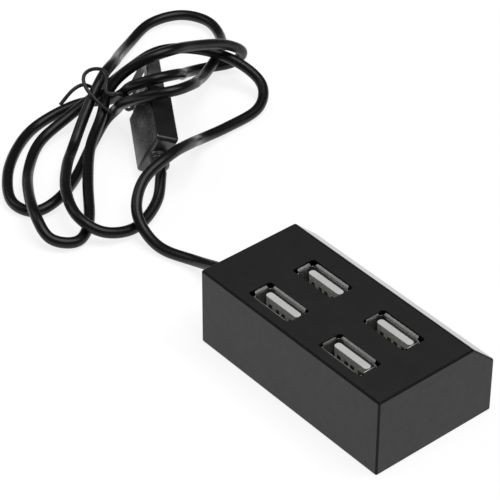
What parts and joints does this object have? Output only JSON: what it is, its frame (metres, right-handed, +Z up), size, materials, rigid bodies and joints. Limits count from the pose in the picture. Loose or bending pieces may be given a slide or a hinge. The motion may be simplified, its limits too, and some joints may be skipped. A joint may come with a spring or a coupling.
{
  "type": "usb hub",
  "caption": "Small bus-powered USB-A hub: black box with upright sockets in its top, a chamfered edge and a folded fixed lead with a twist tie and a USB-A plug.",
  "frame": {"origin": "middle of the case's underside, on the surface it stands on", "axes": "+X along the case's long side, away from the lead; +Y across the case, towards the chamfered edge; +Z up, out of the sockets"},
  "size_m": [0.1789, 0.0973, 0.0234],
  "materials": {
    "case_plastic": "fine matte texture",
    "base_plastic": "matte",
    "tongue_plastic": "satin",
    "shell_steel": "plated",
    "screw_steel": "plated",
    "contact_gold": "gold plated",
    "laminate": "solder mask",
    "chip_package": "matte",
    "crystal_can": "plated",
    "capacitor_sleeve": "gloss",
    "soft_black": "soft gloss",
    "plug_plastic": "satin",
    "plug_insulator_plastic": "satin",
    "tie_plastic": "satin",
    "red_core": "satin",
    "white_core": "satin",
    "green_core": "satin",
    "black_core": "satin"
  },
  "bodies": {
    "root": {"top_cover": "case_plastic", "base_plate": "base_plastic", "circuit_board": "laminate", "hub_controller": "chip_package", "crystal": "crystal_can", "filter_capacitor_1": "capacitor_sleeve", "filter_capacitor_2": "capacitor_sleeve", "cord_grommet": "soft_black", "cord": "soft_black", "plug_overmold": "plug_plastic", "plug_shell": "shell_steel", "plug_insulator": "plug_insulator_plastic", "twist_tie": "tie_plastic", "socket_shell_1": "shell_steel", "socket_tongue_1": "tongue_plastic", "case_screw_1": "screw_steel", "plug_contact_1": "contact_gold", "wire_1": "red_core", "socket_1_contact_1": "contact_gold", "socket_1_contact_2": "contact_gold", "socket_1_contact_3": "contact_gold", "socket_1_contact_4": "contact_gold", "socket_shell_2": "shell_steel", "socket_tongue_2": "tongue_plastic", "case_screw_2": "screw_steel", "plug_contact_2": "contact_gold", "wire_2": "white_core", "socket_2_contact_1": "contact_gold", "socket_2_contact_2": "contact_gold", "socket_2_contact_3": "contact_gold", "socket_2_contact_4": "contact_gold", "socket_shell_3": "shell_steel", "socket_tongue_3": "tongue_plastic", "case_screw_3": "screw_steel", "plug_contact_3": "contact_gold", "wire_3": "green_core", "socket_3_contact_1": "contact_gold", "socket_3_contact_2": "contact_gold", "socket_3_contact_3": "contact_gold", "socket_3_contact_4": "contact_gold", "socket_shell_4": "shell_steel", "socket_tongue_4": "tongue_plastic", "case_screw_4": "screw_steel", "plug_contact_4": "contact_gold", "wire_4": "black_core", "socket_4_contact_1": "contact_gold", "socket_4_contact_2": "contact_gold", "socket_4_contact_3": "contact_gold", "socket_4_contact_4": "contact_gold"}
  },
  "joints": []
}
